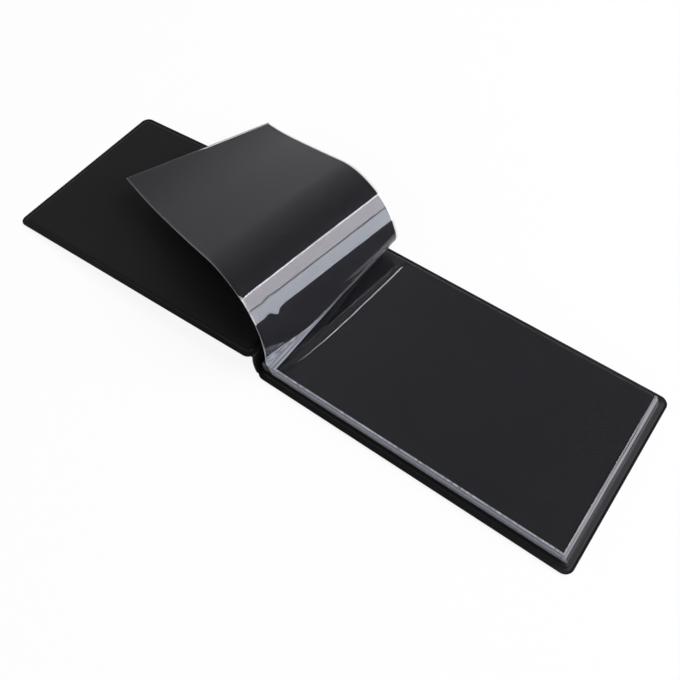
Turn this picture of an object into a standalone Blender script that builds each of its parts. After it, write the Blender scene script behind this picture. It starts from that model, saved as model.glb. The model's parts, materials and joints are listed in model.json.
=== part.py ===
"""Banknote album lying open: two board-stiffened vinyl covers on a soft spine, and ten clear pocket leaves
bound to the back cover. Each pocket holds a loose black card. The first leaf is curled in mid-turn.

Metres, +Z up. The origin is the middle of the back cover's underside, +X runs from the spine to the
back cover's fore edge, and +Y runs away from the reader, to the open side of the pockets.
"""
import math

import bmesh
import bpy
from mathutils import Vector

# Covers: a board sealed between an outer vinyl skin and an inner vinyl liner
COVER_LENGTH = 0.2055
COVER_HEIGHT = 0.125
COVER_CORNER_RADIUS = 0.0055
VINYL_THICKNESS = 0.0004
BOARD_THICKNESS = 0.0015
BOARD_CLEARANCE = 0.00005
BOARD_EDGE_CLEARANCE = 0.0003
WELD_WIDTH = 0.0025
WELD_CLEARANCE = 0.00005
EDGE_SLOPE_WIDTH = 0.0010
CORNER_SEGMENTS = 6

# Spine: a soft double strip that bows outward, hinged on both covers
SPINE_WIDTH = 0.0158
SPINE_BOW = 0.0008
SPINE_LEAN = math.radians(3)
SPINE_SEGMENTS = 6
HINGE_GAP = 0.0003
SPINE_END_GAP = 0.0007

# Pocket leaves
LEAF_COUNT = 10
PAGE_BOUND_INSET = 0.0020
PAGE_FORE_INSET = 0.0073
PAGE_NEAR_INSET = 0.0055
PAGE_FAR_INSET = 0.0075
FILM_THICKNESS = 0.00018
CARD_THICKNESS = 0.00025
CARD_CLEARANCE = 0.00005
CARD_EDGE_CLEARANCE = 0.0003
CARD_BOUND_INSET = 0.0063
CARD_MOUTH_INSET = 0.0010
SEAM_WIDTH = 0.0010
SEAM_CLEARANCE = 0.00005
LEAF_SPACING = 0.0001
STACK_SEAT_GAP = 0.00015

# Binding: the leaves' margins welded into one block, stepped so that the leaves can fan
BINDING_WIDTH = 0.0026
BINDING_STEP = 0.0004
BINDING_GAP = 0.00035
LEAF_END_GAP = 0.0004

# Curl of the raised leaf: where it leaves the stack, (length, turn) of the arcs that follow, and the slope
# of its fore edge, whose near corner is the higher one
CURL_SKEW = math.radians(8.2)
CURL_START = math.radians(80)
CURL_FAR_START = math.radians(45)
CURL_ARCS = ((0.0283, 55), (0.0537, 67), (0.0586, -6), (0.050, -14))
CURL_TWIST = 0.145
CURL_ROOT_LENGTH = 0.012
CURL_LIFT = 0.0008
CURL_COLUMNS = 40
CURL_ROWS = 8

COLOURS = {
    "black vinyl": ((0.012, 0.012, 0.013), 0.55),
    "black liner": ((0.014, 0.014, 0.014), 0.45),
    "grey board": ((0.22, 0.21, 0.19), 0.90),
    "clear film": ((0.62, 0.64, 0.68), 0.12),
    "black card": ((0.016, 0.016, 0.020), 0.40),
    "clear weld": ((0.45, 0.47, 0.50), 0.30),
}

PANEL_THICKNESS = BOARD_THICKNESS + 2 * (VINYL_THICKNESS + BOARD_CLEARANCE)
SPINE_EDGE = -COVER_LENGTH / 2
POCKET_DEPTH = CARD_THICKNESS + 2 * CARD_CLEARANCE
LEAF_THICKNESS = POCKET_DEPTH + 2 * FILM_THICKNESS
LEAF_PITCH = LEAF_THICKNESS + LEAF_SPACING
PAGE_LEFT = SPINE_EDGE + PAGE_BOUND_INSET
PAGE_RIGHT = COVER_LENGTH / 2 - PAGE_FORE_INSET
PAGE_NEAR = -COVER_HEIGHT / 2 + PAGE_NEAR_INSET
PAGE_FAR = COVER_HEIGHT / 2 - PAGE_FAR_INSET
STACK_BOTTOM = PANEL_THICKNESS + STACK_SEAT_GAP
STACK_TOP = STACK_BOTTOM + (LEAF_COUNT - 1) * LEAF_PITCH - LEAF_SPACING


def clear_scene():
    for item in list(bpy.data.objects):
        bpy.data.objects.remove(item, do_unlink=True)


def make_material(name):
    colour, roughness = COLOURS[name]
    material = bpy.data.materials.new(name)
    material.use_nodes = True
    shader = material.node_tree.nodes["Principled BSDF"]
    shader.inputs["Base Color"].default_value = (*colour, 1.0)
    shader.inputs["Roughness"].default_value = roughness
    shader.inputs["Metallic"].default_value = 0.0
    material.diffuse_color = (*colour, 1.0)
    return material


def make_axis(name, location, rotation_y=0.0, parent=None):
    axis = bpy.data.objects.new(name, None)
    axis.empty_display_size = 0.01
    axis.location = location
    axis.rotation_euler = (0.0, rotation_y, 0.0)
    axis.parent = parent
    bpy.context.collection.objects.link(axis)
    return axis


def face_outward(bm):
    bmesh.ops.recalc_face_normals(bm, faces=bm.faces)
    return bm


def make_object(name, bm, material, parent=None):
    mesh = bpy.data.meshes.new(name)
    bm.to_mesh(mesh)
    bm.free()
    mesh.materials.append(material)
    item = bpy.data.objects.new(name, mesh)
    item.parent = parent
    bpy.context.collection.objects.link(item)
    return item


def rounded_outline(inset):
    """Points of the cover's outline, drawn in by an inset, centred on the cover."""
    half_x = COVER_LENGTH / 2 - inset
    half_y = COVER_HEIGHT / 2 - inset
    radius = max(COVER_CORNER_RADIUS - inset, VINYL_THICKNESS)
    points = []
    for quarter, (sign_x, sign_y) in enumerate(((1, 1), (-1, 1), (-1, -1), (1, -1))):
        for step in range(CORNER_SEGMENTS + 1):
            angle = math.radians(90) * (quarter + step / CORNER_SEGMENTS)
            points.append((sign_x * (half_x - radius) + radius * math.cos(angle),
                           sign_y * (half_y - radius) + radius * math.sin(angle)))
    return points


def loft_panel(section, centre_x, middle_z):
    """Closed panel lofted through rounded outlines: section lists (inset, height from the middle)."""
    bm = bmesh.new()
    rings = []
    for inset, height in section:
        rings.append([bm.verts.new((centre_x + x, y, middle_z + height)) for x, y in rounded_outline(inset)])
    for lower, upper in zip(rings, rings[1:]):
        for i in range(len(lower)):
            j = (i + 1) % len(lower)
            bm.faces.new((lower[i], lower[j], upper[j], upper[i]))
    bm.faces.new(rings[0])
    bm.faces.new(rings[-1])
    return face_outward(bm)


def vinyl_section():
    """One vinyl sheet, pressed into a shallow tray with a flat welded rim, below the middle plane."""
    face = PANEL_THICKNESS / 2
    rim_low = WELD_CLEARANCE / 2 + VINYL_THICKNESS
    rim_high = WELD_CLEARANCE / 2
    slope_foot = WELD_WIDTH + EDGE_SLOPE_WIDTH
    inner_shift = VINYL_THICKNESS / 2
    return ((slope_foot, -face), (WELD_WIDTH, -rim_low), (0.0, -rim_low), (0.0, -rim_high),
            (WELD_WIDTH + inner_shift, -rim_high), (slope_foot + inner_shift, VINYL_THICKNESS - face))


def board_section():
    inset = WELD_WIDTH + EDGE_SLOPE_WIDTH + VINYL_THICKNESS + BOARD_EDGE_CLEARANCE
    return ((inset, -BOARD_THICKNESS / 2), (inset, BOARD_THICKNESS / 2))


def build_cover(name, parent, centre_x, middle_z, materials):
    """Outer skin below, board in the middle, inner liner above."""
    skin = vinyl_section()
    liner = [(inset, -height) for inset, height in skin]
    make_object(name + "_skin", loft_panel(skin, centre_x, middle_z), materials["black vinyl"], parent)
    make_object(name + "_board", loft_panel(board_section(), centre_x, middle_z), materials["grey board"], parent)
    make_object(name + "_liner", loft_panel(liner, centre_x, middle_z), materials["black liner"], parent)


def extrude_outline(outline, near, far):
    """Prism from an outline of (x, z) points, extruded along Y."""
    bm = bmesh.new()
    ends = [[bm.verts.new((x, y, z)) for x, z in outline] for y in (near, far)]
    for i in range(len(outline)):
        j = (i + 1) % len(outline)
        bm.faces.new((ends[0][i], ends[0][j], ends[1][j], ends[1][i]))
    bm.faces.new(ends[0])
    bm.faces.new(ends[1])
    return face_outward(bm)


def build_spine(parent, materials):
    """Two strips side by side, bowed away from the pages, standing on the spine's own axis."""
    half_height = COVER_HEIGHT / 2 - COVER_CORNER_RADIUS
    run = SPINE_WIDTH - 2 * SPINE_END_GAP
    shares = [i / SPINE_SEGMENTS for i in range(SPINE_SEGMENTS + 1)]
    bow = [(-SPINE_BOW * (1 - (2 * s - 1) ** 2), SPINE_END_GAP + run * s) for s in shares]
    for name, side, material in (("spine_skin", -1, "black vinyl"), ("spine_liner", 1, "black liner")):
        inner = side * WELD_CLEARANCE / 2
        outer = inner + side * VINYL_THICKNESS
        outline = [(x + inner, z) for x, z in bow] + [(x + outer, z) for x, z in reversed(bow)]
        make_object(name, extrude_outline(outline, -half_height, half_height), materials[material], parent)


def front_slope(axis_height):
    """Slope at which the open front cover's lower face meets the table at its fore edge."""
    reach = HINGE_GAP + COVER_LENGTH - WELD_WIDTH - EDGE_SLOPE_WIDTH
    drop = PANEL_THICKNESS / 2
    return math.asin(axis_height / math.hypot(reach, drop)) - math.atan2(drop, reach)


def slab(columns, rows, low, high):
    """Box from low to high, its faces split at the given columns and rows."""
    bm = bmesh.new()
    grid = {(i, j, k): bm.verts.new((x, y, z)) for i, x in enumerate(columns)
            for j, y in enumerate(rows) for k, z in enumerate((low, high))}
    last_i, last_j = len(columns) - 1, len(rows) - 1
    for i in range(last_i):
        for j in range(last_j):
            for k in (0, 1):
                bm.faces.new([grid[key] for key in ((i, j, k), (i + 1, j, k), (i + 1, j + 1, k))])
                bm.faces.new([grid[key] for key in ((i, j, k), (i + 1, j + 1, k), (i, j + 1, k))])
    for i in range(last_i):
        for j in (0, last_j):
            bm.faces.new([grid[key] for key in ((i, j, 0), (i + 1, j, 0), (i + 1, j, 1), (i, j, 1))])
    for j in range(last_j):
        for i in (0, last_i):
            bm.faces.new([grid[key] for key in ((i, j, 0), (i, j + 1, 0), (i, j + 1, 1), (i, j, 1))])
    return face_outward(bm)


def add_seam(bm, low, left, right, near):
    """Raise the weld seam under a film: near, fore and bound sides, with the far side left open."""

    def in_seam(face):
        centre = face.calc_center_median()
        inside = left + SEAM_WIDTH < centre.x < right - SEAM_WIDTH and centre.y > near + SEAM_WIDTH
        return abs(centre.z - low) < FILM_THICKNESS / 4 and abs(face.normal.z) > 0.5 and not inside

    seam_faces = [face for face in bm.faces if in_seam(face)]
    raised = bmesh.ops.extrude_face_region(bm, geom=seam_faces)
    corners = [item for item in raised["geom"] if isinstance(item, bmesh.types.BMVert)]
    bmesh.ops.translate(bm, verts=corners, vec=(0, 0, -(POCKET_DEPTH - SEAM_CLEARANCE)))
    bmesh.ops.delete(bm, geom=seam_faces, context="FACES")
    face_outward(bm)


def split(start, stop, count):
    return [start + (stop - start) * i / count for i in range(count + 1)]


def leaf_meshes(left, columns, rows):
    """Back film, card and front film of one flat leaf, with the leaf's underside at height 0."""
    right = left + page_length()
    seam_left, seam_right = left + SEAM_WIDTH, right - SEAM_WIDTH
    seam_near = PAGE_NEAR + SEAM_WIDTH
    card_columns = split(left + CARD_BOUND_INSET, seam_right - CARD_EDGE_CLEARANCE, columns)
    card_rows = split(seam_near + CARD_EDGE_CLEARANCE, PAGE_FAR - CARD_MOUTH_INSET, rows)
    film_columns = [left, seam_left] + card_columns + [seam_right, right]
    film_rows = [PAGE_NEAR, seam_near] + card_rows + [PAGE_FAR]
    card_low = FILM_THICKNESS + CARD_CLEARANCE
    front_low = FILM_THICKNESS + POCKET_DEPTH
    back_film = slab(film_columns, film_rows, 0.0, FILM_THICKNESS)
    card = slab(card_columns, card_rows, card_low, card_low + CARD_THICKNESS)
    front_film = slab(film_columns, film_rows, front_low, LEAF_THICKNESS)
    add_seam(front_film, front_low, left, right, PAGE_NEAR)
    return {"back_film": back_film, "card": card, "front_film": front_film}


def leaf_axis_x(number):
    return PAGE_LEFT + BINDING_WIDTH + BINDING_GAP + (number - 2) * BINDING_STEP


def page_length():
    """Length of every leaf: the top one of the stack ends at the page's right edge."""
    return PAGE_RIGHT - leaf_axis_x(2) - LEAF_END_GAP


def leaf_bottom(number):
    return STACK_BOTTOM + (LEAF_COUNT - number) * LEAF_PITCH


def build_stack(materials):
    """Leaves from the second to the last, flat on the back cover, each on its own binding axis."""
    for number in range(2, LEAF_COUNT + 1):
        axis_x = leaf_axis_x(number)
        name = f"leaf_{number:02d}"
        axis = make_axis(name + "_axis", (axis_x, 0.0, leaf_bottom(number) + LEAF_THICKNESS / 2))
        meshes = leaf_meshes(axis_x + LEAF_END_GAP, 1, 1)
        for piece, bm in meshes.items():
            bmesh.ops.translate(bm, verts=bm.verts, vec=(-axis_x, 0.0, -LEAF_THICKNESS / 2))
            finish = materials["black card" if piece == "card" else "clear film"]
            make_object(f"{name}_{piece}", bm, finish, axis)


def build_binding(materials):
    """Welded margins of all the leaves, its page side sloping back with the leaves' steps."""
    top_x = leaf_axis_x(2) - BINDING_GAP
    bottom_x = leaf_axis_x(LEAF_COUNT) - BINDING_GAP
    outline = ((PAGE_LEFT, STACK_BOTTOM), (bottom_x, STACK_BOTTOM), (top_x, STACK_TOP), (PAGE_LEFT, STACK_TOP))
    make_object("page_binding", extrude_outline(outline, PAGE_NEAR, PAGE_FAR), materials["clear weld"])


def curl_profile(distance):
    """Place (across, up) and heading along the curl's arcs, a distance from the fold."""
    across, up, heading = 0.0, 0.0, CURL_START
    for length, turn in CURL_ARCS:
        step = min(distance, length)
        bend = math.radians(turn) * step / length
        chord = step * (math.sin(bend / 2) / (bend / 2) if abs(bend) > 1e-9 else 1.0)
        across += chord * math.cos(heading + bend / 2)
        up += chord * math.sin(heading + bend / 2)
        heading += bend
        distance -= step
    return across + distance * math.cos(heading), up + distance * math.sin(heading)


def curl_place(x, y):
    """Raised leaf's place for a point of its flat page: x from the bound edge, y from the near edge."""
    skew_cos, skew_sin = math.cos(CURL_SKEW), math.sin(CURL_SKEW)
    across, up = curl_profile(max(x * skew_cos - y * skew_sin, 0.0))
    along = x * skew_sin + y * skew_cos
    return Vector((across * skew_cos + along * skew_sin, along * skew_cos - across * skew_sin, up))


def curl_twist(x, y):
    """Rise of the near side and drop of the far side, growing towards the fore edge."""
    middle = (PAGE_FAR - PAGE_NEAR) / 2
    return Vector((0.0, 0.0, CURL_TWIST * (middle - y) * (x / page_length()) ** 2))


def curl_surface(x, y):
    """The curl, with its root drawn from the straight bound edge into the skewed fold."""
    root = y * math.tan(CURL_SKEW) + CURL_ROOT_LENGTH
    if x >= root:
        return curl_place(x, y) + curl_twist(x, y)
    nudge = CURL_ROOT_LENGTH / 100
    end = curl_place(root, y)
    end_heading = (curl_place(root + nudge, y) - end).normalized()
    share = y / (PAGE_FAR - PAGE_NEAR)
    start_angle = CURL_START + (CURL_FAR_START - CURL_START) * share
    start = Vector((0.0, y, 0.0))
    start_heading = Vector((math.cos(start_angle), 0.0, math.sin(start_angle)))
    reach = (end - start).length
    t = x / root
    return (start * (2 * t ** 3 - 3 * t ** 2 + 1) + start_heading * reach * (t ** 3 - 2 * t ** 2 + t)
            + end * (3 * t ** 2 - 2 * t ** 3) + end_heading * reach * (t ** 3 - t ** 2)) + curl_twist(x, y)


def curl_point(x, y, offset):
    """Point a distance off the curled surface's middle, along its normal."""
    nudge = CURL_ROOT_LENGTH / 100
    ahead, behind = curl_surface(x + nudge, y), curl_surface(max(x - nudge, 0.0), y)
    beyond, before = curl_surface(x, y + nudge), curl_surface(x, y - nudge)
    normal = (ahead - behind).cross(beyond - before).normalized()
    return curl_surface(x, y) + normal * offset


def build_raised_leaf(materials):
    """First leaf: the flat leaf's meshes, bent over to the left along a slightly skewed fold."""
    left = leaf_axis_x(2) + LEAF_END_GAP
    fold = make_axis("leaf_01_axis", (left, PAGE_NEAR, STACK_TOP + CURL_LIFT))
    for piece, bm in leaf_meshes(left, CURL_COLUMNS, CURL_ROWS).items():
        for vert in bm.verts:
            flat = vert.co
            vert.co = curl_point(flat.x - left, flat.y - PAGE_NEAR, flat.z - LEAF_THICKNESS / 2)
        finish = materials["black card" if piece == "card" else "clear film"]
        item = make_object(f"leaf_01_{piece}", bm, finish, fold)
        item.data.shade_smooth()
        item.data.set_sharp_from_angle(angle=math.radians(40))


def build_album():
    clear_scene()
    materials = {name: make_material(name) for name in COLOURS}
    middle = PANEL_THICKNESS / 2
    build_cover("back_cover", None, 0.0, middle, materials)
    spine_axis = make_axis("spine_axis", (SPINE_EDGE - HINGE_GAP, 0.0, middle), -SPINE_LEAN)
    build_spine(spine_axis, materials)
    slope = front_slope(middle + SPINE_WIDTH * math.cos(SPINE_LEAN))
    front_axis = make_axis("front_cover_axis", (0.0, 0.0, SPINE_WIDTH), SPINE_LEAN - slope, spine_axis)
    build_cover("front_cover", front_axis, -HINGE_GAP - COVER_LENGTH / 2, 0.0, materials)
    build_binding(materials)
    build_raised_leaf(materials)
    build_stack(materials)
    bpy.context.view_layer.update()


build_album()
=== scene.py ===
"""Looks of a banknote album lying open: grained vinyl covers, a soft spine, and clear pocket leaves with
black cards, the first of them curled over to the left. One large softbox lights it on a white table."""
import json
import math
import random

import bpy
from mathutils import Matrix, Vector


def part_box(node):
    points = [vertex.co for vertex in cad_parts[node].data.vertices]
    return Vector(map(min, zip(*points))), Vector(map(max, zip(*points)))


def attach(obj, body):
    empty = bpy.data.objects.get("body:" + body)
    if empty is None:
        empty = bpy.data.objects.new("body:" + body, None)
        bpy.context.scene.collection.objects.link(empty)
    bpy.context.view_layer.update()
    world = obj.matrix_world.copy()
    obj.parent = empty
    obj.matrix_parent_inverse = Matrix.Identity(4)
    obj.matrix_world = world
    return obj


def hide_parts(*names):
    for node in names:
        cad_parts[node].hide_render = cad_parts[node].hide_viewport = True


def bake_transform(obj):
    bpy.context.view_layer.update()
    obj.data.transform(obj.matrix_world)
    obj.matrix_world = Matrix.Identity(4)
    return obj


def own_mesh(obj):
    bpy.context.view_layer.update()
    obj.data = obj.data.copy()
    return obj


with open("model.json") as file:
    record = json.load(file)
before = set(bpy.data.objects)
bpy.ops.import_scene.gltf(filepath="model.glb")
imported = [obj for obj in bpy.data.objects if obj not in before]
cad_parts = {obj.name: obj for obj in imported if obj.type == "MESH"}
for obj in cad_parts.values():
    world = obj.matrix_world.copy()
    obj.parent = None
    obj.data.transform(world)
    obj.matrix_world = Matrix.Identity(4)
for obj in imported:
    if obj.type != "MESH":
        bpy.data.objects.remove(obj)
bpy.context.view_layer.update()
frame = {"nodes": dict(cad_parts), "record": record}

# Camera: the photograph's view, for a square picture
VIEW_AZIMUTH = math.radians(37.365)
VIEW_ELEVATION = math.radians(57.214)
VIEW_ROLL = math.radians(-1.601)
VIEW_TARGET = Vector((-0.076513, -0.013013, 0.0))
VIEW_DISTANCE = 0.480092
LENS_MM = 41.778
SENSOR_MM = 36.0
CLIP_START = 0.01

# Meshes: edges that turn by more than this stay sharp
SHARP_ANGLE = math.radians(35)

# Covers
CORNER_RADIUS = 0.0055
CORNER_STEPS = 10
VINYL_THICKNESS = 0.0004
RIM_GAP = 0.00005
# Half of a cover's section, from the face to the welded rim: inset from the edge, and share of the rise
# from the rim to the face
ROLLED_EDGE = ((0.0090, 1.0), (0.0048, 1.0), (0.0040, 0.97), (0.0036, 0.88), (0.0033, 0.70), (0.0031, 0.45),
               (0.0029, 0.20), (0.0027, 0.06), (0.0024, 0.0))
# Pressed line in the welded rim: inset from the edge, and depth
RIM_PRESS = ((0.0018, 0.0), (0.0016, 0.00008), (0.0012, 0.00008), (0.0010, 0.0), (0.0003, 0.0))
RIM_EDGE_ROUND = 0.00012
RIM_EDGE_ANGLES = (math.radians(30), math.radians(60), math.radians(90))
# Inner side of a vinyl sheet: insets where it leaves the weld and where it reaches the board's face
WELD_INSET = 0.0031
BOARD_INSET = 0.0041
# Finishes of a cover's sheet, by number: its face, and the rim from this inset outwards
FACE, RIM = 0, 1
RIM_START = 0.0050

# Spine: two bowed strips. Their ends stop short of the covers' near and far edges
SPINE_BOW = 0.0008
SPINE_END_GAP = 0.0007
SPINE_STEPS = 24
STRIP_ROW = 0.003
STRIP_END_INSET = 0.0020
STRIP_END_ROW = 0.0005
# Folds over the hinges: the share of its span over which a fold keeps the direction of each end
FOLD_STEPS = 8
FOLD_HOLD = 0.55

# Pocket leaves: the first is raised, and the second tops the stack
LEAF_COUNT = 10
TOP_LEAF = 2
FILM_THICKNESS = 0.00018
SEAM_WIDTH = 0.0010
SEAM_CLEARANCE = 0.00005
# Leaves and their bound edges are out of line by up to this much. The top leaf hangs over the next one
LEAF_STRAY = 0.00030
LEAF_SEED = 11
BINDING_SEED = 5
TOP_OVERHANG = 0.00055
# Last leaf whose frosted fore seam is drawn light; the fore seams of the leaves below it are painted dark as
# shade
LAST_UNSHADED_SEAM_LEAF = 5
# Steps of fine columns, coarse columns and rows in the raised leaf, the lifted film and flat sheets, and
# where the fine columns end
FINE_END = 0.045
CURL_STEPS = (0.0005, 0.0013, 0.0016)
LIFTED_STEPS = (0.00033, 0.0080, 0.0014)
FLAT_STEPS = (0.0200, 0.0300, 0.0140)

# Curl of the raised leaf: the skew of its fold, the direction in which it leaves the stack, the length and
# turn in degrees of its arcs, and the slope of its fore edge, whose near corner is the higher one
CURL_SKEW = math.radians(8.4)
CURL_START = math.radians(90)
CURL_ARCS = ((0.0478, 72.6), (0.0339, 38.1), (0.0593, -3.4), (0.050, -14))
CURL_TWIST = 0.147
# Root of the raised leaf: it leaves the binding at a slope, creases along a skewed line and then rises to
# the curl, drifting sideways by a power of the distance
ROOT_SLOPE = math.radians(33.5)
ROOT_LENGTH = 0.020
ROOT_SPREAD = 0.25
ROOT_DRIFT_POWER = 1.3
# Crease: its limit as a share of the way to where slope and curl would meet, how far it is rounded off at
# the near side and how much further at the far side, and where a highlight is painted along it, measured
# past the fold
CREASE_LIMIT = 0.97
CREASE_REACH = 0.0015
CREASE_SOFTENING = 0.0060
CREASE_HIGHLIGHT = (0.0002, 0.0010)
# Step between points of the curled surface that give its slopes
NUDGE = 0.0002

# Mark of handling in the raised leaf: a buckle beside the fold
BUCKLE_PLACE = Vector((0.0285, 0.0150))
BUCKLE_SLOPE = math.tan(math.radians(6))
BUCKLE_LENGTH = 0.006
BUCKLE_WIDTH = 0.0022
# Dip on its near side: share of the slope, and place in widths from the middle
BUCKLE_DIP = 0.5
BUCKLE_DIP_PLACE = 1.9

# Top leaf's front film, lifted beside the fold and falling to the card along a slanting ridge
BULGE_HEIGHT = 0.00051
BULGE_FALL = 0.00195
MOUTH_FALL = 0.007
RIDGE_START = 0.0075
RIDGE_REACH = 0.0165

# Finishes of a film and of a card, by number, and those of their near, fore, far and bound edges. The near
# and bound film edges are a light grey of painted light, the fore edges a dark grey of painted shade
FILM_FINISHES = ["pocket_film", "page_binding", "lit_edge", "shaded_edge", "seam_and_highlight"]
CLEAR, WELDED, LIT_EDGE, SHADED_EDGE, SEAM_AND_HIGHLIGHT = range(len(FILM_FINISHES))
FILM_EDGES = (LIT_EDGE, SHADED_EDGE, CLEAR, LIT_EDGE)
CARD_FINISHES = ["pocket_card"]
BLACK = 0
CARD_EDGES = (BLACK, BLACK, BLACK, BLACK)
FILM_IOR = 1.46


# Materials


class Socket:
    """One output of a node. Sums and products of sockets add Math nodes, and node() adds any other."""

    def __init__(self, tree, output=None):
        self.tree = tree
        self.output = output

    def node(self, kind, settings, inputs, output=0):
        made = self.tree.nodes.new("ShaderNode" + kind)
        for name, value in settings.items():
            setattr(made, name, value)
        for name, value in inputs.items():
            if isinstance(value, Socket):
                self.tree.links.new(value.output, made.inputs[name])
            else:
                made.inputs[name].default_value = value
        return Socket(self.tree, made.outputs[output] if made.outputs else None)

    def math(self, operation, first, second):
        return self.node("Math", {"operation": operation}, {0: first, 1: second})

    def mix(self, share, first, second):
        """Mix of two colours. The numbers are the Mix node's own for its colour sockets."""
        return self.node("Mix", {"data_type": "RGBA"}, {0: share, 6: first, 7: second}, 2)

    def __add__(self, other):
        return self.math("ADD", self, other)

    def __radd__(self, other):
        return self.math("ADD", other, self)

    def __sub__(self, other):
        return self.math("SUBTRACT", self, other)

    def __rsub__(self, other):
        return self.math("SUBTRACT", other, self)

    def __mul__(self, other):
        return self.math("MULTIPLY", self, other)

    def __rmul__(self, other):
        return self.math("MULTIPLY", other, self)


def new_material(name):
    """Empty material, and its node tree as a socket that nodes are added from."""
    material = bpy.data.materials.new(name)
    material.use_nodes = True
    material.node_tree.nodes.clear()
    return material, Socket(material.node_tree)


def place_on_part(tree):
    """Place in the part's frame, in metres."""
    return tree.node("TexCoord", {}, {}, "Object")


def noise(tree, size, detail=2.0):
    """Cloudy variation from 0 to 1, with clouds of about the given size in metres."""
    return tree.node("TexNoise", {}, {"Vector": place_on_part(tree), "Scale": 1 / size, "Detail": detail})


def bump(tree, height, depth):
    """Normal over a height from 0 to 1, whose full depth is in metres."""
    return tree.node("Bump", {}, {"Height": height, "Distance": depth})


def shade(tree, **inputs):
    """Principled shader, named by its sockets with spaces as underscores."""
    named = {name.replace("_", " "): value for name, value in inputs.items()}
    shader = tree.node("BsdfPrincipled", {}, named)
    tree.node("OutputMaterial", {}, {"Surface": shader})


def grey(level, blue=1.0):
    """Grey colour, with its blue changed by a factor."""
    return (level, level, level * blue, 1.0)


def grained_vinyl():
    """Matte black vinyl with a pebbled leather grain."""
    material, tree = new_material("grained vinyl")
    pebble_size = 0.0011
    pebble = tree.node("TexVoronoi", {"feature": "SMOOTH_F1"},
                       {"Vector": place_on_part(tree), "Scale": 1 / pebble_size, "Smoothness": 0.4})
    fine = noise(tree, size=0.0004)
    worn = noise(tree, size=0.03)
    shade(tree, Base_Color=tree.mix(worn, grey(0.009), grey(0.014)), Roughness=0.46 + 0.16 * fine,
          Normal=bump(tree, pebble + 0.3 * fine, depth=0.00022))
    return material


def pressed_rim():
    """Vinyl smoothed by the welding bar, along the rims of the covers."""
    material, tree = new_material("pressed rim")
    fine = noise(tree, size=0.0005)
    shade(tree, Base_Color=tree.mix(fine, grey(0.006), grey(0.010)), Roughness=0.30 + 0.12 * fine,
          Specular_IOR_Level=0.14, Normal=bump(tree, fine, depth=0.00006))
    return material


def satin_liner():
    """Smooth black vinyl on the inside of the covers, with a faint calendered texture."""
    material, tree = new_material("satin liner")
    fine = noise(tree, size=0.00035)
    cloud = noise(tree, size=0.022)
    shade(tree, Base_Color=tree.mix(cloud, grey(0.006), grey(0.009)), Roughness=0.50 + 0.10 * cloud,
          Specular_IOR_Level=0.25, Normal=bump(tree, fine, depth=0.00004))
    return material


def grey_board():
    """Raw grey board with pressed fibres."""
    material, tree = new_material("grey board")
    fibre = noise(tree, size=0.0012, detail=6.0)
    dark, light = (0.17, 0.16, 0.145, 1), (0.26, 0.25, 0.23, 1)
    shade(tree, Base_Color=tree.mix(fibre, dark, light), Roughness=0.9,
          Normal=bump(tree, fibre, depth=0.00008))
    return material


def clear_film():
    """Clear glossy pocket film with faint haze from handling."""
    material, tree = new_material("clear film")
    haze = noise(tree, size=0.012, detail=4.0)
    shade(tree, Base_Color=(0.97, 0.975, 0.985, 1), Roughness=0.02 + 0.05 * haze, IOR=FILM_IOR,
          Transmission_Weight=1.0)
    return material


def streaks(tree, counts):
    """Streaks from 0 to 1, about so many in a metre along each axis."""
    place = tree.node("VectorMath", {"operation": "MULTIPLY"}, {0: place_on_part(tree), 1: counts})
    cloud = tree.node("TexNoise", {}, {"Vector": place, "Scale": 1.0, "Detail": 1.0})
    return tree.node("MapRange", {}, {"Value": cloud, "From Min": 0.3, "From Max": 0.7})


def welded_film():
    """Pocket film frosted by the welding bar, with its fine ribs and streaks."""
    material, tree = new_material("welded film")
    ribs = noise(tree, size=0.0006)
    line = streaks(tree, counts=(900, 20, 900))
    dim, light = (0.06, 0.063, 0.07, 1), (0.50, 0.52, 0.55, 1)
    shade(tree, Base_Color=tree.mix(line, dim, light), Roughness=0.25 + 0.2 * ribs, IOR=FILM_IOR,
          Normal=bump(tree, ribs, depth=0.00006))
    return material


def film_edge(name, dim, light):
    """Cut edges and seams of the films, streaked along their length, in greys that paint light and shade:
    light on the near edges, upper fore seams and crease, dark on the fore edges and lower seams.
    """
    material, tree = new_material(name)
    line = streaks(tree, counts=(1500, 20, 3000))
    shade(tree, Base_Color=tree.mix(line, dim, light), Roughness=0.25 + 0.2 * line, IOR=FILM_IOR)
    return material


def black_card():
    """Black card with a fine paper tooth."""
    material, tree = new_material("black card")
    tooth = noise(tree, size=0.0003, detail=4.0)
    shade(tree, Base_Color=tree.mix(tooth, grey(0.007, blue=1.25), grey(0.011, blue=1.25)), Roughness=0.7,
          Specular_IOR_Level=0.25, Normal=bump(tree, tooth, depth=0.00003))
    return material


FINISHES = {
    "cover_vinyl": grained_vinyl(),
    "cover_liner": satin_liner(),
    "cover_board": grey_board(),
    "cover_rim": pressed_rim(),
    "pocket_film": clear_film(),
    "page_binding": welded_film(),
    "pocket_card": black_card(),
    # Near and bound edges of the films: a light grey of painted light
    "lit_edge": film_edge("film edges painted light", (0.16, 0.17, 0.19, 1), (0.62, 0.65, 0.70, 1)),
    # Fore edges of the films, the lower leaves' seams and the binding: a dark grey of painted shade
    "shaded_edge": film_edge("film edges painted in shade", (0.006, 0.006, 0.007, 1), (0.110, 0.108, 0.112, 1)),
    # Frosted fore seams of the upper leaves; the same light grey is painted along the raised leaf's crease
    # as a highlight
    "seam_and_highlight": film_edge("frosted seams and painted crease highlight", (0.04, 0.04, 0.042, 1), (0.50, 0.50, 0.51, 1)),
}


# Meshes


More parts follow.
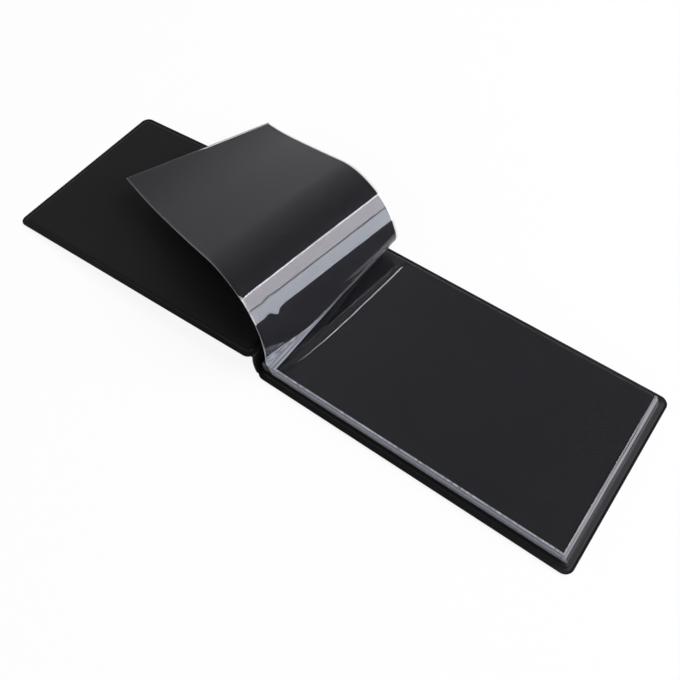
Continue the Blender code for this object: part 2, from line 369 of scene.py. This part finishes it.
def add_mesh(name, verts, faces, finishes, marks=None):
    """Object from points and faces. Marks number each face's finish, and the first finish is the slot."""
    mesh = bpy.data.meshes.new(name)
    mesh.from_pydata([tuple(v) for v in verts], [], faces)
    for finish in finishes:
        mesh.materials.append(FINISHES[finish])
    if marks:
        mesh.polygons.foreach_set("material_index", marks)
    mesh.shade_smooth()
    mesh.set_sharp_from_angle(angle=SHARP_ANGLE)
    piece = bpy.data.objects.new(name, mesh)
    bpy.context.collection.objects.link(piece)
    return piece


def tube_faces(rings, count):
    """Faces between rings of points, with the first and last ring filled."""
    faces = []
    for r in range(rings - 1):
        for i in range(count):
            j = (i + 1) % count
            faces.append((r * count + i, r * count + j, (r + 1) * count + j, (r + 1) * count + i))
    faces.append(tuple(reversed(range(count))))
    faces.append(tuple(range((rings - 1) * count, rings * count)))
    return faces


def split(start, stop, step):
    """Places from start to stop, evenly spaced by about a step."""
    count = max(1, round((stop - start) / step))
    return [start + (stop - start) * i / count for i in range(count + 1)]


def joint_place(name):
    """Where the part's record has a joint."""
    joints = frame["record"]["behaviour"]["joints"]
    return Vector(next(joint["pos_m"] for joint in joints if joint["name"] == name))


# Covers

BACK_LOW, BACK_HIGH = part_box("back_cover_skin")
PANEL_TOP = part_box("back_cover_liner")[1].z
PANEL_MIDDLE = PANEL_TOP / 2
HALF_LENGTH = BACK_HIGH.x
HALF_HEIGHT = BACK_HIGH.y


def cover_outline(inset):
    """Points of a cover's rounded outline, drawn in by an inset."""
    radius = max(CORNER_RADIUS - inset, VINYL_THICKNESS)
    points = []
    for quarter, (sign_x, sign_y) in enumerate(((1, 1), (-1, 1), (-1, -1), (1, -1))):
        for step in range(CORNER_STEPS + 1):
            angle = math.radians(90) * (quarter + step / CORNER_STEPS)
            points.append((sign_x * (HALF_LENGTH - inset - radius) + radius * math.cos(angle),
                           sign_y * (HALF_HEIGHT - inset - radius) + radius * math.sin(angle)))
    return points


def vinyl_section():
    """One vinyl sheet above the middle plane: its face rolled down to a welded rim, then its inner side."""
    rim = RIM_GAP / 2 + VINYL_THICKNESS
    rise = PANEL_MIDDLE - rim
    section = [(inset, rim + rise * share) for inset, share in ROLLED_EDGE]
    section += [(inset, rim - depth) for inset, depth in RIM_PRESS]
    section += [(RIM_EDGE_ROUND * (1 - math.sin(angle)), rim - RIM_EDGE_ROUND * (1 - math.cos(angle)))
                for angle in RIM_EDGE_ANGLES]
    section += [(0.0, RIM_GAP / 2), (WELD_INSET, RIM_GAP / 2), (BOARD_INSET, PANEL_MIDDLE - VINYL_THICKNESS)]
    return section


def cover_sheet(node, side, slot, to_world):
    """Skin (side -1) or liner (side 1) of a cover, in place of its plain solid."""
    section = vinyl_section()
    around = len(cover_outline(0.0))
    verts, marks = [], []
    for inset, height in section:
        verts += [to_world @ Vector((x, y, side * height)) for x, y in cover_outline(inset)]
    for inset, _ in section[:-1]:
        marks += [RIM if inset < RIM_START else FACE] * around
    marks += [FACE, FACE]
    faces = tube_faces(len(section), around)
    if side > 0:
        faces = [tuple(reversed(face)) for face in faces]
    piece = add_mesh(node + "_sheet", verts, faces, [slot, "cover_rim"], marks)
    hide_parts(node)
    return piece


def front_frame():
    """Front cover's tilted frame, at its hinge and at the middle of the cover."""
    board = frame["nodes"]["front_cover_board"]
    face = max(board.data.polygons, key=lambda polygon: polygon.area * (polygon.normal.z > 0))
    tilt = math.atan2(face.normal.x, face.normal.z)
    gap = abs(joint_place("spine_hinge").x - BACK_LOW.x)
    at_hinge = Matrix.Translation(joint_place("front_cover_hinge")) @ Matrix.Rotation(tilt, 4, "Y")
    return at_hinge, at_hinge @ Matrix.Translation((-gap - HALF_LENGTH, 0.0, 0.0))


FRONT_HINGE, FRONT_MIDDLE = front_frame()


def build_covers():
    """Skins and liners of both covers, and the finish of the boards between them."""
    back_middle = Matrix.Translation((0.0, 0.0, PANEL_MIDDLE))
    for body, middle in (("back_cover", back_middle), ("front_cover", FRONT_MIDDLE)):
        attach(cover_sheet(body + "_skin", -1, "cover_vinyl", middle), body)
        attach(cover_sheet(body + "_liner", 1, "cover_liner", middle), body)
        board = frame["nodes"][body + "_board"]
        board.data.materials.clear()
        board.data.materials.append(FINISHES["cover_board"])


# Spine

SPINE_FOOT = joint_place("spine_hinge")
SPINE_HEAD = joint_place("front_cover_hinge")
SPINE_UP = (SPINE_HEAD - SPINE_FOOT).normalized()
SPINE_OUT = Vector((-SPINE_UP.z, 0.0, SPINE_UP.x))
SPINE_RUN = (SPINE_HEAD - SPINE_FOOT).length
STRAIGHT_HALF = HALF_HEIGHT - CORNER_RADIUS
STRIP_HALF = HALF_HEIGHT - STRIP_END_INSET
STRIP_OFFSET = (RIM_GAP + VINYL_THICKNESS) / 2


def corner_inset(y):
    """How far a cover's rounded corner lies inside its spine side, at a place along the spine."""
    past = max(abs(y) - STRAIGHT_HALF, 0.0)
    return CORNER_RADIUS - math.sqrt(CORNER_RADIUS ** 2 - past ** 2)


def strip(name, line_at, slot):
    """Vinyl strip along Y. At each place line_at gives its (point, outward direction) pairs."""
    ys = split(-STRIP_HALF, -STRAIGHT_HALF, STRIP_END_ROW)[:-1]
    ys += split(-STRAIGHT_HALF, STRAIGHT_HALF, STRIP_ROW)
    ys += split(STRAIGHT_HALF, STRIP_HALF, STRIP_END_ROW)[1:]
    half = VINYL_THICKNESS / 2
    verts = []
    for y in ys:
        along = Vector((0.0, y, 0.0))
        line = line_at(y)
        verts += [point + out * half + along for point, out in line]
        verts += [point - out * half + along for point, out in reversed(line)]
    return add_mesh(name, verts, tube_faces(len(ys), 2 * len(line)), [slot])


def bezier_line(start, start_heading, end, end_heading):
    """Smooth line between two points, with the direction square to it at each step."""
    reach = (end - start).length * FOLD_HOLD
    controls = (start, start + start_heading * reach, end - end_heading * reach, end)
    line = []
    for i in range(FOLD_STEPS + 1):
        t = i / FOLD_STEPS
        shares = ((1 - t) ** 3, 3 * t * (1 - t) ** 2, 3 * t * t * (1 - t), t ** 3)
        slopes = (-(1 - t) ** 2, (1 - t) ** 2 - 2 * t * (1 - t), 2 * t * (1 - t) - t * t, t * t)
        point = sum((c * s for c, s in zip(controls, shares)), Vector())
        heading = sum((c * s for c, s in zip(controls, slopes)), Vector()).normalized()
        line.append((point, Vector((-heading.z, 0.0, heading.x))))
    return line


def bowed_line(offset):
    """Line up the spine, bowed outwards and set off from its middle."""
    line = []
    for i in range(SPINE_STEPS + 1):
        share = i / SPINE_STEPS
        rise = SPINE_END_GAP + (SPINE_RUN - 2 * SPINE_END_GAP) * share
        bow = SPINE_BOW * (1 - (2 * share - 1) ** 2)
        slope = SPINE_BOW * 4 * (1 - 2 * share) / SPINE_RUN
        out = (SPINE_OUT - SPINE_UP * slope).normalized()
        line.append((SPINE_FOOT + SPINE_UP * rise + SPINE_OUT * (bow + offset), out))
    return line


def build_spine():
    """Two bowed strips, and the soft folds that carry them over both hinges."""
    left = Vector((-1.0, 0.0, 0.0))
    front_left = (FRONT_HINGE.to_3x3() @ left).normalized()
    front_up = FRONT_HINGE.to_3x3() @ Vector((0.0, 0.0, 1.0))
    front_edge = FRONT_MIDDLE @ Vector((HALF_LENGTH, 0.0, 0.0))
    for kind, side, slot in (("skin", 1, "cover_vinyl"), ("liner", -1, "cover_liner")):
        offset = side * STRIP_OFFSET
        line = bowed_line(offset)
        foot, head = line[0][0], line[-1][0]
        back_rim = Vector((BACK_LOW.x, 0.0, PANEL_MIDDLE - offset))
        front_rim = front_edge - front_up * offset

        def back_line(y):
            return bezier_line(back_rim - left * corner_inset(y), left, foot, SPINE_UP)

        def front_line(y):
            return bezier_line(head, SPINE_UP, front_rim + front_left * corner_inset(y), front_left)

        piece = strip(f"spine_{kind}_strip", lambda y: line, slot)
        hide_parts(f"spine_{kind}")
        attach(piece, "spine")
        back_fold = strip(f"back_hinge_{kind}_fold", back_line, slot)
        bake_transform(back_fold)
        front_fold = strip(f"front_hinge_{kind}_fold", front_line, slot)
        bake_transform(front_fold)


# Pocket leaves

LEAF_LOW, LEAF_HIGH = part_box("leaf_02_back_film")
CARD_LOW, CARD_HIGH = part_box("leaf_02_card")
LEAF_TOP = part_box("leaf_02_front_film")[1].z
LEAF_THICKNESS = LEAF_TOP - LEAF_LOW.z
CARD_START = CARD_LOW.z - LEAF_LOW.z
CARD_END = CARD_HIGH.z - LEAF_LOW.z
FRONT_START = LEAF_THICKNESS - FILM_THICKNESS
PAGE_LENGTH = LEAF_HIGH.x - LEAF_LOW.x
PAGE_HEIGHT = LEAF_HIGH.y - LEAF_LOW.y
CARD_BOUND = CARD_LOW.x - LEAF_LOW.x
CARD_FORE = LEAF_HIGH.x - CARD_HIGH.x
CARD_NEAR = CARD_LOW.y - LEAF_LOW.y
CARD_MOUTH = LEAF_HIGH.y - CARD_HIGH.y


def card_columns(length, steps):
    """Columns over the card, in fine steps near the binding and in coarse ones after it."""
    return split(CARD_BOUND, FINE_END, steps[0])[:-1] + split(FINE_END, length - CARD_FORE, steps[1])


def card_rows(step):
    """Rows over the card, from the near side to the pocket's mouth."""
    return split(CARD_NEAR, PAGE_HEIGHT - CARD_MOUTH, step)


def film_columns(length, steps):
    """Columns over a film: those of its bound margin, of the card and of the fore seam."""
    margin = split(SEAM_WIDTH, CARD_BOUND, steps[0])[:-1]
    return [0.0] + margin + card_columns(length, steps) + [length - SEAM_WIDTH, length]


def film_rows(step):
    """Rows over a film: the near seam, the card and the lip of the mouth."""
    return [0.0, SEAM_WIDTH] + card_rows(step) + [PAGE_HEIGHT]


def in_seam(x, y, length):
    """Whether a point of a film lies in the welds of its bound, fore or near side."""
    return x < SEAM_WIDTH or x > length - SEAM_WIDTH or y < SEAM_WIDTH


def page_layer(name, columns, rows, low, high, place, zone, finishes, edges):
    """Closed sheet over a page. Low and high give its faces' heights, place puts a page point in space,
    and zone and edges give the finishes of its faces and its rim."""
    verts = [place(x, y, face(x, y)) for face in (low, high) for y in rows for x in columns]
    wide, deep = len(columns), len(rows)

    def corner(face, j, i):
        return (face * deep + j) * wide + i

    faces, marks = [], []
    for j in range(deep - 1):
        for i in range(wide - 1):
            quad = ((j, i), (j, i + 1), (j + 1, i + 1), (j + 1, i))
            mark = zone((columns[i] + columns[i + 1]) / 2, (rows[j] + rows[j + 1]) / 2)
            faces.append([corner(1, *c) for c in quad])
            faces.append([corner(0, *c) for c in reversed(quad)])
            marks += [mark, mark]
    rim = [(0, i) for i in range(wide - 1)] + [(j, wide - 1) for j in range(deep - 1)]
    rim += [(deep - 1, i) for i in range(wide - 1, 0, -1)] + [(j, 0) for j in range(deep - 1, 0, -1)]
    for a, b in zip(rim, rim[1:] + rim[:1]):
        faces.append([corner(0, *a), corner(0, *b), corner(1, *b), corner(1, *a)])
    for mark, count in zip(edges, (wide - 1, deep - 1, wide - 1, deep - 1)):
        marks += [mark] * count
    return add_mesh(name, verts, faces, finishes, marks)


def level(value):
    """The same value all over a page."""
    return lambda x, y: value


def leaf_layers(name, length, steps, front_steps, place, bulge, zone):
    """Back film, card and front film of one leaf. Zone gives the finish at a point of its films."""
    columns, rows = film_columns(length, steps), film_rows(steps[2])
    front_columns, front_rows = film_columns(length, front_steps), film_rows(front_steps[2])

    def front_low(x, y):
        seam = FILM_THICKNESS + SEAM_CLEARANCE
        return seam if in_seam(x, y, length) else FRONT_START + bulge(x, y)

    def front_high(x, y):
        return LEAF_THICKNESS + bulge(x, y)

    return {
        "back_film": page_layer(name + "_back_sheet", columns, rows, level(0.0), level(FILM_THICKNESS),
                                place, zone, FILM_FINISHES, FILM_EDGES),
        "card": page_layer(name + "_card_sheet", card_columns(length, steps), card_rows(steps[2]),
                           level(CARD_START), level(CARD_END),
                           place, level(BLACK), CARD_FINISHES, CARD_EDGES),
        "front_film": page_layer(name + "_front_sheet", front_columns, front_rows, front_low, front_high,
                                 place, zone, FILM_FINISHES, FILM_EDGES),
    }


def ease(value):
    """Smooth step from 0 to 1."""
    value = min(max(value, 0.0), 1.0)
    return value * value * (3 - 2 * value)


def fold_at(y):
    """Where the raised leaf's skewed fold crosses a row of the page."""
    return y * math.tan(CURL_SKEW)


def fold_bulge(x, y):
    """Lift of the front film beside the fold: it rises to a ridge, falls off, and dies out at the mouth."""
    ridge = RIDGE_START + RIDGE_REACH * math.sqrt(y / PAGE_HEIGHT)
    rise = ease((x - fold_at(y)) / (ridge - fold_at(y)))
    fall = ease((ridge + BULGE_FALL - x) / BULGE_FALL)
    mouth = ease((PAGE_HEIGHT - y) / MOUTH_FALL)
    return BULGE_HEIGHT * rise * fall * mouth


def build_stack():
    """Leaves from the second to the last, each a little out of line with the next."""
    stray = random.Random(LEAF_SEED)
    for number in range(TOP_LEAF, LEAF_COUNT + 1):
        name = f"leaf_{number:02d}"
        low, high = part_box(name + "_back_film")
        shift = TOP_OVERHANG if number == TOP_LEAF + 1 else stray.uniform(0.0, LEAF_STRAY)
        length = high.x - low.x - stray.uniform(0.0, LEAF_STRAY)
        origin = low + Vector((0.0, shift, 0.0))
        # The top leaf's near seam is frosted film; the near seams of the leaves below it are painted dark as
        # shade
        seam_mark = WELDED if number == TOP_LEAF else SHADED_EDGE
        # Fore seams of the upper leaves are frosted and light; those of the lower leaves are painted dark as
        # shade
        fore_mark = SEAM_AND_HIGHLIGHT if number <= LAST_UNSHADED_SEAM_LEAF else SHADED_EDGE

        def place(x, y, height):
            return origin + Vector((x, y, height))

        def zone(x, y):
            if x < CARD_BOUND:
                return WELDED
            if x > length - SEAM_WIDTH:
                return fore_mark
            return seam_mark if y < SEAM_WIDTH else CLEAR

        front_steps, bulge = (LIFTED_STEPS, fold_bulge) if number == TOP_LEAF else (FLAT_STEPS, level(0.0))
        layers = leaf_layers(name, length, FLAT_STEPS, front_steps, place, bulge, zone)
        for kind, piece in layers.items():
            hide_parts(f"{name}_{kind}")
            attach(piece, f"card_{number:02d}" if kind == "card" else name)


def curl_profile(distance):
    """Place (across, up) along the curl's arcs, a distance from the fold."""
    across, up, heading = 0.0, 0.0, CURL_START
    for length, turn in CURL_ARCS:
        step = min(distance, length)
        bend = math.radians(turn) * step / length
        chord = step * (math.sin(bend / 2) / (bend / 2) if bend else 1.0)
        across += chord * math.cos(heading + bend / 2)
        up += chord * math.sin(heading + bend / 2)
        heading += bend
        distance -= step
    return across + distance * math.cos(heading), up + distance * math.sin(heading)


def curl_place(x, y):
    """Raised leaf's place for a point of its flat page."""
    skew_cos, skew_sin = math.cos(CURL_SKEW), math.sin(CURL_SKEW)
    across, up = curl_profile(max(x * skew_cos - y * skew_sin, 0.0))
    along = x * skew_sin + y * skew_cos
    return Vector((across * skew_cos + along * skew_sin, along * skew_cos - across * skew_sin, up))


def curl_twist(x, y):
    """Rise of the near side and drop of the far side, growing towards the fore edge."""
    return Vector((0.0, 0.0, CURL_TWIST * (PAGE_HEIGHT / 2 - y) * (x / PAGE_LENGTH) ** 2))


def root_path(y):
    """Leaf's root, seen along the binding: its crease, its end, its heading there, and the end's Y."""
    curl_end = curl_place(fold_at(y) + ROOT_LENGTH, y)
    ahead = curl_place(fold_at(y) + ROOT_LENGTH + NUDGE, y) - curl_end
    heading = Vector((ahead.x, ahead.z)).normalized()
    end = Vector((curl_end.x, curl_end.z))
    slope = Vector((math.cos(ROOT_SLOPE), math.sin(ROOT_SLOPE)))
    # Distance along the slope to where it would meet the line of the curl
    meeting = (end.x * heading.y - end.y * heading.x) / (slope.x * heading.y - slope.y * heading.x)
    crease = slope * min(y * ROOT_SPREAD / slope.x, CREASE_LIMIT * meeting)
    return crease, end, heading, curl_end.y


def root_place(x, y):
    """Place on the leaf's root, between the binding and the curl, with the crease rounded off."""
    crease, end, heading, end_y = root_path(y)
    fold = fold_at(y)
    reach = (end - crease).length
    # Past the crease the leaf sets out at the mirror image of its heading at the end
    leave = (2 * (end - crease).normalized() - heading).normalized()
    soft = min(CREASE_REACH + CREASE_SOFTENING * (y / PAGE_HEIGHT) ** 2, crease.length / 2)

    def rising(distance):
        """Point of the cubic from the crease to the curl."""
        t = distance / reach
        return (crease * (2 * t ** 3 - 3 * t ** 2 + 1) + leave * reach * (t ** 3 - 2 * t ** 2 + t)
                + end * (3 * t ** 2 - 2 * t ** 3) + heading * reach * (t ** 3 - t ** 2))

    past = (x / fold - 1) * crease.length if x < fold else (x - fold) / ROOT_LENGTH * reach
    if past >= soft:
        point = rising(past)
    elif past <= -soft:
        point = crease * (1 + past / crease.length)
    else:
        t = (past / soft + 1) / 2
        start = crease * (1 - soft / crease.length)
        point = start * (1 - t) ** 2 + crease * 2 * t * (1 - t) + rising(soft) * t ** 2
    share = (crease.length + past) / (crease.length + reach)
    drift = (end_y - y) * share ** ROOT_DRIFT_POWER
    return Vector((point.x, y + drift, point.y))


def curl_surface(x, y):
    """Raised leaf's middle surface: its root, then the curl."""
    y_page = max(y, 0.0)
    if x < fold_at(y_page) + ROOT_LENGTH:
        return root_place(x, y_page) + Vector((0.0, y - y_page, 0.0)) + curl_twist(x, y)
    return curl_place(x, y) + curl_twist(x, y)


def buckle(x, y):
    """Height of the buckle: the film bends more along its middle and less to the near side of it."""
    from_middle = x - BUCKLE_PLACE.x
    along = (y - BUCKLE_PLACE.y) / BUCKLE_WIDTH
    bend = math.exp(-along ** 2) - BUCKLE_DIP * math.exp(-(along + BUCKLE_DIP_PLACE) ** 2)
    return BUCKLE_SLOPE * from_middle * math.exp(-(from_middle / BUCKLE_LENGTH) ** 2) * bend


def curl_point(x, y, height):
    """Point of the raised leaf: a height in the flat leaf, laid off along the curled surface's normal."""
    ahead, behind = curl_surface(x + NUDGE, y), curl_surface(max(x - NUDGE, 0.0), y)
    beyond, before = curl_surface(x, y + NUDGE), curl_surface(x, y - NUDGE)
    normal = (ahead - behind).cross(beyond - before).normalized()
    return curl_surface(x, y) + normal * (height - LEAF_THICKNESS / 2 + buckle(x, y))


def raised_zone(x, y):
    """Finish of the raised leaf's films: frosted in the bound margin, with a highlight painted along the
    crease.
    """
    if x < CARD_BOUND:
        return WELDED
    # A light seam grey painted along the crease as a highlight
    return SEAM_AND_HIGHLIGHT if CREASE_HIGHLIGHT[0] < x - fold_at(y) < CREASE_HIGHLIGHT[1] else CLEAR


def build_raised_leaf():
    """First leaf, curled over to the left."""
    fold = joint_place("leaf_01_turn")

    def place(x, y, height):
        return fold + curl_point(x, y, height)

    layers = leaf_layers("leaf_01", PAGE_LENGTH, CURL_STEPS, CURL_STEPS, place, level(0.0), raised_zone)
    for kind, piece in layers.items():
        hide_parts("leaf_01_" + kind)
        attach(piece, "leaf_01")
        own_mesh(piece)


def build_binding():
    """The leaves' bound margins, welded together and stepped back from leaf to leaf."""
    low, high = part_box("page_binding")
    lean = LEAF_LOW.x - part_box(f"leaf_{LEAF_COUNT:02d}_back_film")[0].x
    cuts = random.Random(BINDING_SEED)
    right_side, left_side = [], []
    for number in range(LEAF_COUNT, TOP_LEAF - 1, -1):
        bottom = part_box(f"leaf_{number:02d}_back_film")[0].z
        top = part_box(f"leaf_{number:02d}_front_film")[1].z
        edge = high.x + lean * (bottom - low.z) / (high.z - low.z)
        right_side += [(edge, bottom), (edge, top), (edge - LEAF_STRAY, top)]
        trim = low.x + cuts.uniform(0.0, LEAF_STRAY)
        left_side += [(trim, bottom), (trim, top)]
    outline = right_side[:-1] + left_side[::-1]
    ends = (low.y, high.y)
    verts = [(x, y, z) for y in ends for x, z in outline]
    faces = [tuple(reversed(face)) for face in tube_faces(len(ends), len(outline))]
    # All its faces take the dark film-edge grey of painted shade
    finishes = ["page_binding", "shaded_edge"]
    marks = [finishes.index("shaded_edge")] * len(faces)
    piece = add_mesh("bound_margins", verts, faces, finishes, marks)
    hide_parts("page_binding")
    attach(piece, "back_cover")


# Studio

# Softbox: the place that it lights, the directions of its upper and lower edges from there, its distance and
# its length along those edges
SOFTBOX_AIM = Vector((-0.105, 0.0, 0.042))
SOFTBOX_TOP = Vector((0.26, 0.41, 0.87)).normalized()
SOFTBOX_BOTTOM = Vector((0.89, 0.29, 0.34)).normalized()
SOFTBOX_DISTANCE = 3.0
SOFTBOX_LENGTH = 2.6
# Panels of the softbox from its upper edge down: share of the width, radiance and colour
SOFTBOX_PANELS = ((0.05, 13.0, (0.96, 0.95, 1.0)),
                  (0.44, 5.3, (0.96, 0.93, 1.0)),
                  (0.05, 1.2, (0.94, 0.94, 1.0)),
                  (0.46, 5.6, (0.86, 0.90, 1.0)))
# Glows of the dim room: the range of a direction's X or Y, and the strength at its two ends
LEFT_GLOW = {"From Min": -0.75, "From Max": 0.0, "To Min": 0.34, "To Max": 0.12}
FRONT_GLOW = {"From Min": -0.85, "From Max": -0.35, "To Min": 0.8, "To Max": 0.0}
ROOM_TINT = (0.97, 0.95, 1.0, 1.0)
# Table: its left near and right far corners, its height, its grey and how much it glows. It ends just right
# of the album, so that the raised leaf mirrors the dark room below the softbox
TABLE_CORNERS = ((-1.5, -1.2), (0.165, 1.2))
TABLE_HEIGHT = -0.0002
TABLE_GREY = 0.94
TABLE_GLOW = 0.9


def build_softbox():
    """One softbox on the right, its panels side by side."""
    middle = (SOFTBOX_TOP + SOFTBOX_BOTTOM).normalized()
    width = 2 * SOFTBOX_DISTANCE * math.tan(SOFTBOX_TOP.angle(SOFTBOX_BOTTOM) / 2)
    down = (SOFTBOX_BOTTOM - SOFTBOX_TOP).normalized()
    turn = Matrix((down, middle.cross(down), middle)).transposed().to_4x4()
    reached = -width / 2
    for number, (share, radiance, colour) in enumerate(SOFTBOX_PANELS):
        lamp = bpy.data.lights.new(f"softbox_{number}", "AREA")
        lamp.shape = "RECTANGLE"
        lamp.size = width * share
        lamp.size_y = SOFTBOX_LENGTH
        lamp.energy = radiance * math.pi * lamp.size * lamp.size_y
        lamp.color = colour
        light = bpy.data.objects.new(lamp.name, lamp)
        centre = SOFTBOX_AIM + middle * SOFTBOX_DISTANCE + down * (reached + lamp.size / 2)
        light.matrix_world = Matrix.Translation(centre) @ turn
        light.visible_camera = False
        bpy.context.collection.objects.link(light)
        reached += lamp.size


def ray(tree, kind):
    """1 for the rays of a kind, 0 for the others."""
    return tree.node("LightPath", {}, {}, f"Is {kind} Ray")


def glow(tree, value, ends):
    """Strength of a glow, easing from one end of a range to the other."""
    return tree.node("MapRange", {"interpolation_type": "SMOOTHSTEP"}, {"Value": value, **ends})


def build_world():
    """White to the camera; for everything else dim, with glows from the left and the front."""
    world = bpy.data.worlds.new("studio")
    bpy.context.scene.world = world
    world.use_nodes = True
    world.node_tree.nodes.clear()
    tree = Socket(world.node_tree)
    direction = tree.node("TexCoord", {}, {}, "Generated")
    across = tree.node("SeparateXYZ", {}, {"Vector": direction}, "X")
    towards = tree.node("SeparateXYZ", {}, {"Vector": direction}, "Y")
    room = glow(tree, across, LEFT_GLOW) + glow(tree, towards, FRONT_GLOW)
    white = ray(tree, "Camera")
    strength = white + (1 - white) * room
    colour = tree.mix(white, ROOM_TINT, grey(1.0))
    shader = tree.node("Background", {}, {"Color": colour, "Strength": strength})
    tree.node("OutputWorld", {}, {"Surface": shader})


def build_table():
    """White table that glows a little to the camera and in reflections, and keeps the album's shadow."""
    material, tree = new_material("white table")
    seen = ray(tree, "Camera") + ray(tree, "Glossy") + ray(tree, "Transmission")
    share = tree.math("MINIMUM", seen, 1.0) * TABLE_GLOW
    matte = tree.node("BsdfDiffuse", {}, {"Color": grey(TABLE_GREY)})
    white = tree.node("Emission", {}, {"Color": grey(1.0), "Strength": 1.0})
    shader = tree.node("MixShader", {}, {0: share, 1: matte, 2: white})
    tree.node("OutputMaterial", {}, {"Surface": shader})
    mesh = bpy.data.meshes.new("table")
    (left, near), (right, far) = TABLE_CORNERS
    corners = [(x, y, TABLE_HEIGHT) for x, y in ((left, near), (right, near), (right, far), (left, far))]
    mesh.from_pydata(corners, [], [(0, 1, 2, 3)])
    mesh.materials.append(material)
    table = bpy.data.objects.new("table", mesh)
    bpy.context.collection.objects.link(table)


def build_camera():
    """The photograph's view."""
    back = Vector((math.sin(VIEW_AZIMUTH) * math.cos(VIEW_ELEVATION),
                   -math.cos(VIEW_AZIMUTH) * math.cos(VIEW_ELEVATION), math.sin(VIEW_ELEVATION)))
    level_right = (-back).cross(Vector((0.0, 0.0, 1.0))).normalized()
    level_up = level_right.cross(-back)
    right = level_right * math.cos(VIEW_ROLL) + level_up * math.sin(VIEW_ROLL)
    up = level_up * math.cos(VIEW_ROLL) - level_right * math.sin(VIEW_ROLL)
    lens = bpy.data.cameras.new("photo view")
    lens.lens = LENS_MM
    lens.sensor_width = SENSOR_MM
    lens.clip_start = CLIP_START
    camera = bpy.data.objects.new("photo view", lens)
    turn = Matrix((right, up, back)).transposed().to_4x4()
    camera.matrix_world = Matrix.Translation(VIEW_TARGET + back * VIEW_DISTANCE) @ turn
    bpy.context.collection.objects.link(camera)
    bpy.context.scene.camera = camera


build_covers()
build_spine()
build_stack()
build_raised_leaf()
build_binding()
build_softbox()
build_world()
build_table()
build_camera()
bpy.context.scene.view_settings.view_transform = "Standard"
